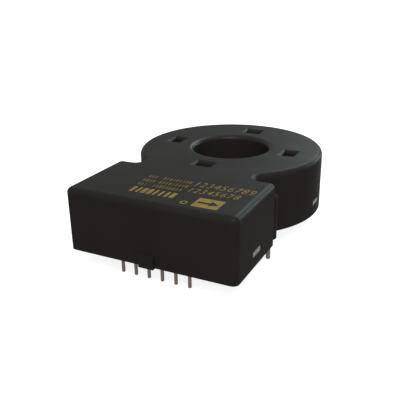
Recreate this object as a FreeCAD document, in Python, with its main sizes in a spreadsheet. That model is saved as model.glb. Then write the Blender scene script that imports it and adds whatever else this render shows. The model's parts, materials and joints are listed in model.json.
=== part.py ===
import FreeCAD, Part
import math
import os
import Sketcher

# Ring-type fluxgate residual current sensor for a circuit board, in millimetres.
# The origin is where the axis of the conductor bore meets the board, +Z points up and
# +Y from the box with the pins towards the ring.

SIZES = [
    ("case_height", 11.2, "board face to roof"),
    ("box_width", 31.0, "width of the box"),
    ("box_depth", 16.6, "front face to back face of the box"),
    ("bore_radius", 7.5, "conductor bore"),
    ("ring_section", 10.5, "conductor bore to the outside of the ring"),
    ("ring_overlap", 1.8, "how far the ring reaches into the box"),
    ("wall", 1.2, "outer walls"),
    ("roof", 1.2, "roof"),
    ("bore_wall", 1.0, "tube round the bore"),
    ("edge_round", 0.95, "edge round the roof"),
    ("corner_extra", 0.15, "upright corners of the box, over the edge round"),
    ("neck_round", 1.5, "inner corners between box and ring"),
    ("bore_round", 0.9, "mouth of the bore"),
    ("neck_wall", 1.8, "walls beside the way from the box into the ring"),
    ("window_shift", 0.1, "roof windows off the middle of the shield, inwards"),
    ("window_length", 3.1, "roof window, round the ring"),
    ("window_width", 2.2, "roof window, outwards"),
    ("window_round", 0.7, "edge of a roof window"),
    ("slot_length", 3.7, "clip slot"),
    ("slot_height", 1.25, "clip slot"),
    ("slot_foot", 1.75, "board face to the foot of a clip slot"),
    ("slot_round", 0.2, "corners of a clip slot"),
    ("box_slot_inset", 8.25, "front face to the clip slot of the box"),
    ("tab_width", 2.75, "tab on the front face"),
    ("tab_height", 2.0, "tab on the front face"),
    ("tab_depth", 0.7, "tab on the front face"),
    ("post_radius", 1.35, "post behind the box"),
    ("post_foot", 0.7, "board face to the foot of the post"),
    ("post_height", 8.7, "top of the post"),
    ("post_round", 0.4, "edge round the top of the post"),
    ("post_out", 0.55, "axis of the post beyond the back face of the box"),
    ("post_hole_depth", 6.0, "blind hole of the post"),
    ("press_gap", 0.01, "round a pin pressed into plastic"),
    ("stop_side", 1.6, "corner ribs over the board"),
    ("centring_rib", 1.2, "width of the ribs that centre the shield"),
    ("base_thickness", 1.2, "base plate"),
    ("base_recess", 0.2, "board face to the base plate"),
    ("base_gap", 0.1, "base plate to the walls"),
    ("prop_side", 2.0, "props under the board"),
    ("tongue_thickness", 0.6, "clip tongues of the base plate"),
    ("tongue_height", 1.9, "clip tongues above the base plate"),
    ("tongue_gap", 0.15, "tongue to the ends of its slot"),
    ("barb_sink", 0.12, "barb below the outer face of the wall"),
    ("barb_flat", 0.85, "upright face of the barb"),
    ("barb_slope", 0.3, "lead-in of the barb"),
    ("pin_pitch", 2.54, "signal pins"),
    ("pin_diameter", 0.6, "signal pins"),
    ("pin_inset", 2.3, "front face to the pin row"),
    ("pin_reach", 3.5, "pins below the board face"),
    ("pin_top", 0.8, "signal pins above the circuit board"),
    ("pin_point", 0.15, "chamfer at the ends of the pins"),
    ("pin_shoulder", 0.05, "shoulder of the pins above the board face"),
    ("shank_step", 0.05, "shank of the pins beyond their ends, all round"),
    ("pin_hole_gap", 0.15, "pin to its hole in board and base plate"),
    ("mounting_pin_diameter", 0.8, "mounting pins"),
    ("strip_height", 2.5, "pin strip"),
    ("strip_width", 2.0, "pin strip"),
    ("strip_notch", 0.5, "notches between the places of the pin strip"),
    ("board_thickness", 1.6, "circuit board"),
    ("board_gap", 0.3, "circuit board to the walls"),
    ("board_corner", 1.0, "corners of the circuit board"),
    ("seat_gap", 0.03, "between faces that rest on each other"),
    ("shield_wall", 0.4, "sheet of the shield"),
    ("shield_gap", 0.2, "shield to the bore tube and to the roof"),
    ("shield_ring_gap", 1.1, "shield to the wall of the ring"),
    ("split_rise", 0.06, "top of the circuit board to the split of the shield"),
    ("shield_split", 0.1, "between the halves of the shield"),
    ("lead_door_width", 8.4, "opening of the shield for the leads"),
    ("lead_door_height", 1.2, "opening of the shield for the leads"),
    ("layer_gap", 0.06, "between the layers of the wound core"),
    ("screen_gap", 0.15, "feedback winding to the shield"),
    ("feedback_layer", 0.3, "closed layer of the feedback winding"),
    ("excitation_layer", 0.25, "closed layer of the excitation winding"),
    ("turn_height", 0.2, "top turns above their layer"),
    ("turn_width", 0.45, "one turn of the top layer"),
    ("feedback_turns", 48, "turns of the top layer"),
    ("excitation_turns", 36, "turns of the top layer"),
    ("winding_gap_angle", 14.0, "bare sector of the windings, degrees"),
    ("core_wall", 0.5, "core case"),
    ("core_gap", 0.1, "core to its case"),
    ("plug_gap", 0.05, "bonding plug to its window"),
    ("plug_sink", 0.9, "bonding plug below the roof face"),
    ("lead_diameter", 0.35, "winding leads"),
    ("lead_pitch", 2.0, "between neighbouring leads"),
    ("lead_inset", 1.2, "back edge of the board to the lead holes"),
    ("lead_bend", 0.9, "bend of a lead"),
    ("lead_end", 0.5, "lead below the board"),
    ("package_width", 3.0, "circuit packages, without their legs"),
    ("package_height", 1.1, "circuit packages"),
    ("leg_pitch", 0.65, "legs of the circuit packages"),
    ("leg_width", 0.25, "legs of the circuit packages"),
    ("leg_sheet", 0.15, "sheet of the legs"),
    ("leg_out", 0.2, "package to the knee of its legs"),
    ("leg_foot", 0.5, "knee to the tip of a leg"),
    ("cap_proud", 0.05, "end caps above their block"),
    ("burden_length", 5.0, "burden resistor"),
    ("burden_width", 2.5, "burden resistor"),
    ("burden_height", 0.7, "burden resistor"),
    ("burden_cap", 0.6, "end caps of the burden resistor"),
    ("tantalum_length", 3.5, "tantalum capacitor"),
    ("tantalum_width", 2.8, "tantalum capacitor"),
    ("tantalum_height", 1.9, "tantalum capacitor"),
    ("tantalum_cap", 0.5, "terminals of the tantalum capacitor"),
    ("chip_length", 1.6, "small chips"),
    ("chip_width", 0.8, "small chips"),
    ("chip_height", 0.7, "small chips"),
    ("chip_cap", 0.35, "end caps of the small chips"),
    ("chip_pitch", 1.5, "between neighbouring small chips"),
]

PINS = 6
LEADS = 4
CORNERS = 4
NEAR = 1e-3

# Where the circuit parts stand, as shares of half the board's width and half its depth
BOARD_PLACES = {
    "control_ic": (-0.47, -0.05),
    "amplifier_ic": (-0.03, -0.3),
    "voltage_regulator": (0.42, 0.35),
    "burden_resistor": (0.42, -0.35),
    "tantalum_capacitor": (-0.82, 0),
    "chip_capacitors": (0.8, 0),
    "chip_resistors": (-0.03, 0.35),
}

doc = FreeCAD.newDocument("current_sensor")
sheet = doc.addObject("Spreadsheet::Sheet", "Dim")
for row, (alias, amount, meaning) in enumerate(SIZES, start=1):
    sheet.set(f"A{row}", alias)
    sheet.set(f"B{row}", str(amount))
    sheet.setAlias(f"B{row}", alias)
    sheet.set(f"C{row}", meaning)
doc.recompute()

# Levels above the board face
BASE_TOP = "(Dim.base_recess + Dim.base_thickness)"
BOARD_FOOT = f"({BASE_TOP} + Dim.strip_height + 2 * Dim.seat_gap)"
BOARD_TOP = f"({BOARD_FOOT} + Dim.board_thickness)"
PART_FOOT = f"({BOARD_TOP} + Dim.seat_gap)"
CEILING = "(Dim.case_height - Dim.roof)"
LOWER_RIM = f"({BOARD_TOP} + Dim.split_rise - Dim.shield_split / 2)"
UPPER_RIM = f"({BOARD_TOP} + Dim.split_rise + Dim.shield_split / 2)"
LEAD_LEVEL = f"({UPPER_RIM} + Dim.lead_door_height / 2)"

# Outside of the case: half the box across, the rest as distances from the bore axis
HALF_BOX = "(Dim.box_width / 2)"
RING = "(Dim.bore_radius + Dim.ring_section)"
BOX_BACK = f"({RING} - Dim.ring_overlap)"
BOX_FRONT = f"({BOX_BACK} + Dim.box_depth)"
NECK_ROOT = f"sqrt(({RING} + Dim.neck_round)^2 - ({BOX_BACK} - Dim.neck_round)^2)"
HALF_NECK = f"({NECK_ROOT} - Dim.neck_round)"

# Walls of the case, seen from inside
BOX_SIDE = f"({HALF_BOX} - Dim.wall)"
BOX_NOSE = f"({BOX_FRONT} - Dim.wall)"
BOX_TAIL = f"({BOX_BACK} + Dim.wall)"
RING_INSIDE = f"({RING} - Dim.wall)"
TUBE = "(Dim.bore_radius + Dim.bore_wall)"
HALF_THROAT = f"({HALF_NECK} - Dim.neck_wall)"

# Circuit board, and what stands in rows
BOARD_SIDE = f"({BOX_SIDE} - Dim.board_gap)"
BOARD_NOSE = f"({BOX_NOSE} - Dim.board_gap)"
BOARD_TAIL = f"({BOX_TAIL} + Dim.board_gap)"
PIN_LINE = f"({BOX_FRONT} - Dim.pin_inset)"
LEAD_LINE = f"({BOARD_TAIL} + Dim.lead_inset)"
SLOT_LINE = f"({BOX_FRONT} - Dim.box_slot_inset)"
POST_ACROSS = f"({HALF_BOX} - Dim.post_radius)"
POST_BACK = f"({BOX_BACK} - Dim.post_out)"
FIRST_PIN = f"(-{(PINS - 1) / 2} * Dim.pin_pitch)"
FIRST_LEAD = f"(-{(LEADS - 1) / 2} * Dim.lead_pitch)"
SIGNAL_SHANK = "(Dim.pin_diameter / 2 + Dim.shank_step)"
MOUNTING_SHANK = "(Dim.mounting_pin_diameter / 2 + Dim.shank_step)"

# Wound core, from the shield inwards: each entry is (inner radius, outer radius, foot, top)
SHIELD = (
    f"({TUBE} + Dim.shield_gap)",
    f"({RING_INSIDE} - Dim.shield_ring_gap)",
    f"({BASE_TOP} + Dim.seat_gap)",
    f"({CEILING} - Dim.shield_gap)",
)
WINDOW_LINE = f"(({SHIELD[0]} + {SHIELD[1]}) / 2 - Dim.window_shift)"


def inset(layer, depth):
    """The ring-shaped space that lies depth inside another one, on all four sides."""
    inner, outer, foot, top = layer
    deep = f"({depth})"
    return f"({inner} + {deep})", f"({outer} - {deep})", f"({foot} + {deep})", f"({top} - {deep})"


FEEDBACK = inset(SHIELD, "Dim.shield_wall + Dim.screen_gap + Dim.turn_height")
FEEDBACK_INSIDE = inset(FEEDBACK, "Dim.feedback_layer")
EXCITATION = inset(FEEDBACK_INSIDE, "Dim.layer_gap + Dim.turn_height")
EXCITATION_INSIDE = inset(EXCITATION, "Dim.excitation_layer")
CORE_CASE = inset(EXCITATION_INSIDE, "Dim.layer_gap")
CORE_SPACE = inset(CORE_CASE, "Dim.core_wall")
CORE = inset(CORE_SPACE, "Dim.core_gap")


def size(alias):
    """Plain number of a driving dimension."""
    return float(sheet.get(alias))


def new_body(label):
    """Empty body whose label names the piece."""
    body = doc.addObject("PartDesign::Body", label.title().replace("_", "") + "Body")
    body.Label = label
    return body


def origin_item(body, role):
    """One plane or axis of the body's own origin."""
    return next(item for item in body.Origin.OriginFeatures if item.Role == role)


def new_sketch(body, role="XY_Plane", level="0"):
    """Empty sketch on one of the body's own planes, raised along the plane's normal."""
    drawing = body.newObject("Sketcher::SketchObject", "Sketch")
    drawing.AttachmentSupport = [(origin_item(body, role), "")]
    drawing.MapMode = "FlatFace"
    drawing.setExpression("AttachmentOffset.Base.z", level)
    return drawing


def pin_point(drawing, curve, end, across, up):
    """Ties one point of a sketch to its distances from the sketch's origin."""
    spot = drawing.getPoint(curve, end)
    ways = (("DistanceX", -2, across, spot.x), ("DistanceY", -1, up, spot.y))
    for kind, axis, distance, start in ways:
        if distance == "0":
            drawing.addConstraint(Sketcher.Constraint("PointOnObject", curve, end, axis))
        else:
            pull = Sketcher.Constraint(kind, -1, 1, curve, end, start)
            index = drawing.addConstraint(pull)
            drawing.setExpression(f"Constraints[{index}]", distance)


def draw_outline(drawing, points):
    """Closed outline of straight lines through points, each a pair of distances."""
    count = len(points)
    turns = [2 * math.pi * step / count for step in range(count)]
    spots = [FreeCAD.Vector(1 + math.cos(turn), 1 + math.sin(turn), 0) for turn in turns]
    lines = []
    for step in range(count):
        segment = Part.LineSegment(spots[step], spots[(step + 1) % count])
        lines.append(drawing.addGeometry(segment, False))
    for step in range(count):
        following = lines[(step + 1) % count]
        drawing.addConstraint(Sketcher.Constraint("Coincident", lines[step], 2, following, 1))
    for line, (across, up) in zip(lines, points):
        pin_point(drawing, line, 1, across, up)


def draw_box(drawing, left, low, right, high):
    """Rectangle between two opposite corners."""
    draw_outline(drawing, [(left, low), (right, low), (right, high), (left, high)])


def draw_circle(drawing, across, up, radius):
    """Full circle."""
    circle = Part.Circle(FreeCAD.Vector(1, 1, 0), FreeCAD.Vector(0, 0, 1), 1)
    curve = drawing.addGeometry(circle, False)
    pin_point(drawing, curve, 3, across, up)
    index = drawing.addConstraint(Sketcher.Constraint("Radius", curve, 1.0))
    drawing.setExpression(f"Constraints[{index}]", radius)


def add_pad(body, drawing, length, backwards=False):
    """Raises a sketch along its normal, or against it."""
    feature = body.newObject("PartDesign::Pad", "Pad")
    feature.Profile = drawing
    feature.setExpression("Length", length)
    feature.Reversed = backwards
    return feature


def add_pocket(body, drawing, depth, backwards=False):
    """Cuts a sketch into the body along the sketch's normal, or against it."""
    before = body_volume(body)
    feature = body.newObject("PartDesign::Pocket", "Pocket")
    feature.Profile = drawing
    feature.setExpression("Length", depth)
    feature.Reversed = not backwards
    doc.recompute()
    if feature.Shape.Volume >= before:
        raise RuntimeError(f"{feature.Name} of {body.Label} cuts nothing")
    return feature


def add_revolution(body, drawing, angle=None):
    """Turns a sketch round its own upright axis, all the way or through an angle."""
    feature = body.newObject("PartDesign::Revolution", "Revolution")
    feature.Profile = drawing
    feature.ReferenceAxis = (drawing, ["V_Axis"])
    if angle:
        feature.setExpression("Angle", angle)
    return feature


def add_round(body, names, radius):
    """Rounds edges or all edges of faces."""
    base = body.Tip
    feature = body.newObject("PartDesign::Fillet", "Fillet")
    feature.Base = (base, names)
    feature.setExpression("Radius", radius)
    doc.recompute()


def add_bevel(body, names, amount):
    """Bevels edges or all edges of faces."""
    base = body.Tip
    feature = body.newObject("PartDesign::Chamfer", "Chamfer")
    feature.Base = (base, names)
    feature.setExpression("Size", amount)
    doc.recompute()


def add_mirror(body, feature):
    """Repeats a feature on the other side of the middle plane."""
    mirror = body.newObject("PartDesign::Mirrored", "Mirrored")
    mirror.Originals = [feature]
    mirror.MirrorPlane = (origin_item(body, "YZ_Plane"), [""])
    body.Tip = mirror
    doc.recompute()


def add_ring_pattern(body, feature, count, angle="360"):
    """Repeats a feature round the upright axis, evenly or within an angle."""
    pattern = body.newObject("PartDesign::PolarPattern", "PolarPattern")
    pattern.Originals = [feature]
    pattern.Axis = (origin_item(body, "Z_Axis"), [""])
    pattern.setExpression("Angle", angle)
    pattern.setExpression("Occurrences", count)
    body.Tip = pattern
    doc.recompute()


def add_row_pattern(body, features, role, length, count):
    """Repeats features along one of the body's axes."""
    pattern = body.newObject("PartDesign::LinearPattern", "LinearPattern")
    pattern.Originals = features
    pattern.Direction = (origin_item(body, role), [""])
    pattern.setExpression("Length", length)
    pattern.Occurrences = count
    body.Tip = pattern
    doc.recompute()


def body_volume(body):
    """Volume of what the body holds so far."""
    doc.recompute()
    return body.Tip.Shape.Volume


def face_at_height(body, height):
    """Name of the level face at a height."""
    doc.recompute()
    for number, face in enumerate(body.Tip.Shape.Faces, start=1):
        box = face.BoundBox
        if abs(box.ZMin - height) < NEAR and abs(box.ZMax - height) < NEAR:
            return f"Face{number}"
    raise RuntimeError(f"no face of {body.Label} at {height}")


def edges_where(body, wanted):
    """Names of the edges for which a test holds."""
    doc.recompute()
    edges = body.Tip.Shape.Edges
    return [f"Edge{number}" for number, edge in enumerate(edges, start=1) if wanted(edge)]


def upright(edge):
    """Tells whether an edge stands straight up."""
    box = edge.BoundBox
    return box.XLength < NEAR and box.YLength < NEAR


def level_at(edge, height):
    """Tells whether an edge lies level at a height."""
    box = edge.BoundBox
    return abs(box.ZMin - height) < NEAR and abs(box.ZMax - height) < NEAR


def from_axis(edge):
    """Distance of an edge's middle from the upright axis."""
    middle = edge.CenterOfMass
    return math.hypot(middle.x, middle.y)


def draw_channel(drawing, layer, rim, wall):
    """Half section of a ring-shaped channel between two radii, with its floor at layer[2]."""
    inner, outer, foot, _ = layer
    draw_outline(drawing, [
        (inner, foot),
        (outer, foot),
        (outer, rim),
        (f"{outer} - {wall}", rim),
        (f"{outer} - {wall}", f"{foot} + {wall}"),
        (f"{inner} + {wall}", f"{foot} + {wall}"),
        (f"{inner} + {wall}", rim),
        (inner, rim),
    ])


def draw_section(drawing, layer):
    """Half section of a ring with four flat sides."""
    inner, outer, foot, top = layer
    draw_box(drawing, inner, foot, outer, top)


def case_outside(body):
    """Box and ring with their rounded corners and edges."""
    box = new_sketch(body)
    draw_box(box, f"-{HALF_BOX}", f"-{BOX_FRONT}", HALF_BOX, f"-{BOX_BACK}")
    add_pad(body, box, "Dim.case_height")
    add_round(body, edges_where(body, upright), "Dim.edge_round + Dim.corner_extra")
    ring = new_sketch(body)
    draw_circle(ring, "0", "0", RING)
    add_pad(body, ring, "Dim.case_height")
    reach = size("bore_radius") + size("ring_section")

    def at_neck(edge):
        on_ring = abs(from_axis(edge) - reach) < NEAR
        return upright(edge) and on_ring and edge.CenterOfMass.y < -NEAR

    add_round(body, edges_where(body, at_neck), "Dim.neck_round")
    add_round(body, [face_at_height(body, size("case_height"))], "Dim.edge_round")


def case_bore(body):
    """Conductor bore with its rounded mouth."""
    bore = new_sketch(body)
    draw_circle(bore, "0", "0", "Dim.bore_radius")
    add_pocket(body, bore, "Dim.case_height")

    def mouth(edge):
        at_wall = abs(edge.BoundBox.XMax - size("bore_radius")) < NEAR
        return level_at(edge, size("case_height")) and at_wall

    add_round(body, edges_where(body, mouth), "Dim.bore_round")


def case_cavity(body):
    """Space for the board, ring-shaped space for the wound core, and the way between them."""
    room = new_sketch(body)
    draw_box(room, f"-{BOX_SIDE}", f"-{BOX_NOSE}", BOX_SIDE, f"-{BOX_TAIL}")
    add_pocket(body, room, CEILING)
    channel = new_sketch(body)
    draw_circle(channel, "0", "0", RING_INSIDE)
    draw_circle(channel, "0", "0", TUBE)
    add_pocket(body, channel, CEILING)
    throat = new_sketch(body)
    reach = f"-sqrt({RING_INSIDE}^2 - {HALF_THROAT}^2)"
    draw_box(throat, f"-{HALF_THROAT}", f"-{BOX_TAIL}", HALF_THROAT, reach)
    add_pocket(body, throat, CEILING)


def case_windows(body):
    """Four roof windows over the wound core."""
    window = new_sketch(body, level=CEILING)
    draw_box(
        window,
        "-Dim.window_length / 2",
        f"-{WINDOW_LINE} - Dim.window_width / 2",
        "Dim.window_length / 2",
        f"-{WINDOW_LINE} + Dim.window_width / 2",
    )
    opening = add_pocket(body, window, "Dim.roof")
    add_ring_pattern(body, opening, f"{CORNERS}")
    ring_inside = size("bore_radius") + size("ring_section") - size("wall")

    def rim(edge):
        straight = edge.Curve.TypeId == "Part::GeomLine"
        return straight and level_at(edge, size("case_height")) and from_axis(edge) < ring_inside

    add_round(body, edges_where(body, rim), "Dim.window_round")


def case_slots(body):
    """Clip slots low in both sides of the box and of the ring."""
    ring_wall = f"{RING} - sqrt({RING_INSIDE}^2 - (Dim.slot_length / 2)^2)"
    places = ((HALF_BOX, f"-{SLOT_LINE}", "Dim.wall"), (RING, "0", ring_wall))
    for outside, middle, thickness in places:
        slot = new_sketch(body, "YZ_Plane", outside)
        draw_box(
            slot,
            f"{middle} - Dim.slot_length / 2",
            "Dim.slot_foot",
            f"{middle} + Dim.slot_length / 2",
            "Dim.slot_foot + Dim.slot_height",
        )
        opening = add_pocket(body, slot, f"{thickness} + Dim.base_gap", backwards=True)
        add_mirror(body, opening)
    foot = size("slot_foot")
    head = foot + size("slot_height")

    def corner(edge):
        outwards = edge.BoundBox.YLength < NEAR
        return outwards and (level_at(edge, foot) or level_at(edge, head))

    add_round(body, edges_where(body, corner), "Dim.slot_round")


def case_tab(body):
    """Tab at the foot of the front face."""
    tab = new_sketch(body, "XZ_Plane", f"{BOX_FRONT} - Dim.wall / 2")
    draw_box(tab, "-Dim.tab_width / 2", "0", "Dim.tab_width / 2", "Dim.tab_height")
    add_pad(body, tab, "Dim.tab_depth + Dim.wall / 2")


def case_posts(body):
    """Two round posts in the notches behind the box, each with a blind pin hole."""
    post = new_sketch(body, "XZ_Plane", POST_BACK)
    post.setExpression("AttachmentOffset.Base.x", POST_ACROSS)
    shoulder = "Dim.post_height - Dim.post_round"
    spots = ((0, 0), (2, 0), (2, 4), (1, 5), (0, 5))
    foot, wide, neck, crest, top = (FreeCAD.Vector(*spot) for spot in spots)
    floor = post.addGeometry(Part.LineSegment(foot, wide), False)
    side = post.addGeometry(Part.LineSegment(wide, neck), False)
    circle = Part.Circle(FreeCAD.Vector(1, 4), FreeCAD.Vector(0, 0, 1), 1)
    rim = post.addGeometry(Part.ArcOfCircle(circle, 0, math.pi / 2), False)
    roof = post.addGeometry(Part.LineSegment(crest, top), False)
    middle = post.addGeometry(Part.LineSegment(top, foot), False)
    chain = (floor, side, rim, roof, middle)
    for line, following in zip(chain, chain[1:] + chain[:1]):
        post.addConstraint(Sketcher.Constraint("Coincident", line, 2, following, 1))
    pin_point(post, floor, 1, "0", "Dim.post_foot")
    pin_point(post, side, 1, "Dim.post_radius", "Dim.post_foot")
    pin_point(post, side, 2, "Dim.post_radius", shoulder)
    pin_point(post, roof, 1, "Dim.post_radius - Dim.post_round", "Dim.post_height")
    post.addConstraint(Sketcher.Constraint("Vertical", roof, 1, rim, 3))
    pin_point(post, roof, 2, "0", "Dim.post_height")
    add_mirror(body, add_revolution(body, post))
    hole = new_sketch(body)
    for across in (f"-{POST_ACROSS}", POST_ACROSS):
        draw_circle(hole, across, f"-{POST_BACK}", f"{MOUNTING_SHANK} + Dim.press_gap")
    add_pocket(body, hole, "Dim.post_hole_depth")


def case_ribs(body):
    """Corner ribs that keep the board down and ribs that centre the shield."""
    stops = new_sketch(body, level=PART_FOOT)
    rib_side = f"({BOX_SIDE} - Dim.stop_side)"
    rib_nose = f"({BOX_NOSE} - Dim.stop_side)"
    rib_tail = f"({BOX_TAIL} + Dim.stop_side)"
    for left, right in ((f"-{BOX_SIDE}", f"-{rib_side}"), (rib_side, BOX_SIDE)):
        draw_box(stops, left, f"-{BOX_NOSE}", right, f"-{rib_nose}")
        draw_box(stops, left, f"-{rib_tail}", right, f"-{BOX_TAIL}")
    add_pad(body, stops, f"{CEILING} - {PART_FOOT}")
    rib = new_sketch(body, level=BASE_TOP)
    rib.setExpression("AttachmentOffset.Rotation.Angle", f"{180 / CORNERS}")
    inner = f"{SHIELD[1]} + Dim.shield_gap"
    outer = f"{RING_INSIDE} + Dim.wall / 2"
    draw_box(rib, inner, "-Dim.centring_rib / 2", outer, "Dim.centring_rib / 2")
    add_ring_pattern(body, add_pad(body, rib, f"{CEILING} - {BASE_TOP}"), f"{CORNERS}")


def case():
    """Moulded shell: box, ring, bore tube, roof and walls in one piece."""
    body = new_body("case")
    case_outside(body)
    case_bore(body)
    case_cavity(body)
    case_windows(body)
    case_slots(body)
    case_tab(body)
    case_posts(body)
    case_ribs(body)
    return body


def base_floor(body):
    """Plate that fills the open foot of the case, with the hole for the bore tube."""
    side = f"({BOX_SIDE} - Dim.base_gap)"
    nose = f"({BOX_NOSE} - Dim.base_gap)"
    tail = f"({BOX_TAIL} + Dim.base_gap)"
    round_edge = f"({RING_INSIDE} - Dim.base_gap)"
    half = f"({HALF_THROAT} - Dim.base_gap)"
    room = new_sketch(body, level="Dim.base_recess")
    draw_box(room, f"-{side}", f"-{nose}", side, f"-{tail}")
    add_pad(body, room, "Dim.base_thickness")
    ring = new_sketch(body, level="Dim.base_recess")
    draw_circle(ring, "0", "0", round_edge)
    add_pad(body, ring, "Dim.base_thickness")
    throat = new_sketch(body, level="Dim.base_recess")
    reach = f"-sqrt({round_edge}^2 - {half}^2)"
    draw_box(throat, f"-{half}", f"-{tail} - Dim.wall", half, reach)
    add_pad(body, throat, "Dim.base_thickness")
    hole = new_sketch(body, level="Dim.base_recess")
    draw_circle(hole, "0", "0", f"{TUBE} + Dim.base_gap")
    add_pocket(body, hole, "Dim.base_thickness")


def base_pin_holes(body):
    """Row of holes for the signal pins."""
    hole = new_sketch(body, level="Dim.base_recess")
    draw_circle(hole, FIRST_PIN, f"-{PIN_LINE}", f"{SIGNAL_SHANK} + Dim.pin_hole_gap")
    opening = add_pocket(body, hole, "Dim.base_thickness")
    add_row_pattern(body, [opening], "X_Axis", f"{PINS - 1} * Dim.pin_pitch", PINS)


def base_props(body):
    """Four square props under the corners of the board."""
    props = new_sketch(body, level="Dim.base_recess + Dim.base_thickness / 2")
    side = f"({BOARD_SIDE} - Dim.board_corner)"
    nose = f"({BOARD_NOSE} - Dim.board_corner)"
    tail = f"({BOARD_TAIL} + Dim.board_corner)"
    inner_side = f"({side} - Dim.prop_side)"
    for left, right in ((f"-{side}", f"-{inner_side}"), (inner_side, side)):
        draw_box(props, left, f"-{nose}", right, f"-{nose} + Dim.prop_side")
        draw_box(props, left, f"-{tail} - Dim.prop_side", right, f"-{tail}")
    add_pad(body, props, f"{BOARD_FOOT} - Dim.seat_gap - {BASE_TOP} + Dim.base_thickness / 2")


def base_tongues(body, wall_face, middle):
    """Clip tongues with their barbs in the slots of both sides."""
    tongue = new_sketch(body, "XZ_Plane", f"-({middle}) - Dim.slot_length / 2 + Dim.tongue_gap")
    root = f"({wall_face} - Dim.wall - Dim.base_gap)"
    back = f"({root} - Dim.tongue_thickness)"
    tip = f"({wall_face} - Dim.barb_sink)"
    floor = "(Dim.base_recess + Dim.base_thickness / 2)"
    foot = "(Dim.slot_foot + Dim.seat_gap)"
    barb_top = f"({foot} + Dim.barb_flat)"
    top = f"({BASE_TOP} + Dim.tongue_height)"
    draw_outline(tongue, [
        (back, floor),
        (root, floor),
        (root, foot),
        (tip, foot),
        (tip, barb_top),
        (root, f"{barb_top} + Dim.barb_slope"),
        (root, top),
        (back, top),
    ])
    add_mirror(body, add_pad(body, tongue, "Dim.slot_length - 2 * Dim.tongue_gap"))


def base_plate():
    """Plate that closes the case from below, with board props and clip tongues."""
    body = new_body("base_plate")
    base_floor(body)
    base_pin_holes(body)
    base_props(body)
    base_tongues(body, HALF_BOX, f"-{SLOT_LINE}")
    base_tongues(body, f"sqrt({RING}^2 - (Dim.slot_length / 2)^2)", "0")
    return body


def turned_pin(label, diameter, top):
    """Round pin with chamfered ends and a thicker shank above its shoulder."""
    body = new_body(label)
    profile = new_sketch(body, "XZ_Plane")
    radius = f"({diameter} / 2)"
    shank = f"({radius} + Dim.shank_step)"
    draw_outline(profile, [
        ("0", "-Dim.pin_reach"),
        (f"{radius} - Dim.pin_point", "-Dim.pin_reach"),
        (radius, "-Dim.pin_reach + Dim.pin_point"),
        (radius, "Dim.pin_shoulder"),
        (shank, "Dim.pin_shoulder"),
        (shank, f"{top} - Dim.pin_point"),
        (f"{shank} - Dim.pin_point", top),
        ("0", top),
    ])
    add_revolution(body, profile)
    return body


def signal_pin(number):
    """One of the pins of the row, soldered into the circuit board."""
    top = f"({BOARD_TOP} + Dim.pin_top)"
    body = turned_pin(f"signal_pin_{number}", "Dim.pin_diameter", top)
    body.setExpression("Placement.Base.x", f"{FIRST_PIN} + {number - 1} * Dim.pin_pitch")
    body.setExpression("Placement.Base.y", f"-{PIN_LINE}")
    return body


def mounting_pin(side, across):
    """Thicker pin pressed into the post of the case."""
    top = "(Dim.post_hole_depth - Dim.press_gap)"
    body = turned_pin(f"mounting_pin_{side}", "Dim.mounting_pin_diameter", top)
    body.setExpression("Placement.Base.x", across)
    body.setExpression("Placement.Base.y", f"-{POST_BACK}")
    return body


def pin_strip():
    """Insulator that holds the row of pins in line, notched between the places."""
    body = new_body("pin_strip")
    foot = f"{BASE_TOP} + Dim.seat_gap"
    bar = new_sketch(body, level=foot)
    half_length = f"({PINS / 2} * Dim.pin_pitch)"
    front = f"(-{PIN_LINE} - Dim.strip_width / 2)"
    back = f"(-{PIN_LINE} + Dim.strip_width / 2)"
    draw_box(bar, f"-{half_length}", front, half_length, back)
    add_pad(body, bar, "Dim.strip_height")
    notch = new_sketch(body, level=foot)
    first = f"({FIRST_PIN} + Dim.pin_pitch / 2)"
    for edge, depth in ((front, "+ Dim.strip_notch"), (back, "- Dim.strip_notch")):
        draw_outline(notch, [
            (f"{first} - Dim.strip_notch", edge),
            (f"{first} + Dim.strip_notch", edge),
            (first, f"{edge} {depth}"),
        ])
    cut = add_pocket(body, notch, "Dim.strip_height")
    add_row_pattern(body, [cut], "X_Axis", f"{PINS - 2} * Dim.pin_pitch", PINS - 1)
    hole = new_sketch(body, level=foot)
    draw_circle(hole, FIRST_PIN, f"-{PIN_LINE}", f"{SIGNAL_SHANK} + Dim.press_gap")
    bore = add_pocket(body, hole, "Dim.strip_height")
    add_row_pattern(body, [bore], "X_Axis", f"{PINS - 1} * Dim.pin_pitch", PINS)
    return body


def circuit_board():
    """Board with holes for the pins and the winding leads."""
    body = new_body("circuit_board")
    plan = new_sketch(body, level=BOARD_FOOT)
    draw_box(plan, f"-{BOARD_SIDE}", f"-{BOARD_NOSE}", BOARD_SIDE, f"-{BOARD_TAIL}")
    add_pad(body, plan, "Dim.board_thickness")
    add_round(body, edges_where(body, upright), "Dim.board_corner")
    pins = new_sketch(body, level=BOARD_FOOT)
    draw_circle(pins, FIRST_PIN, f"-{PIN_LINE}", f"{SIGNAL_SHANK} + Dim.pin_hole_gap")
    pin_hole = add_pocket(body, pins, "Dim.board_thickness")
    add_row_pattern(body, [pin_hole], "X_Axis", f"{PINS - 1} * Dim.pin_pitch", PINS)
    leads = new_sketch(body, level=BOARD_FOOT)
    draw_circle(leads, FIRST_LEAD, f"-{LEAD_LINE}", "Dim.lead_diameter / 2 + Dim.pin_hole_gap")
    lead_hole = add_pocket(body, leads, "Dim.board_thickness")
    add_row_pattern(body, [lead_hole], "X_Axis", f"{LEADS - 1} * Dim.lead_pitch", LEADS)
    return body


def ring_piece(label, draw, *arguments):
    """Piece turned from one half section."""
    body = new_body(label)
    profile = new_sketch(body, "XZ_Plane")
    draw(profile, *arguments)
    add_revolution(body, profile)
    return body


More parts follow.
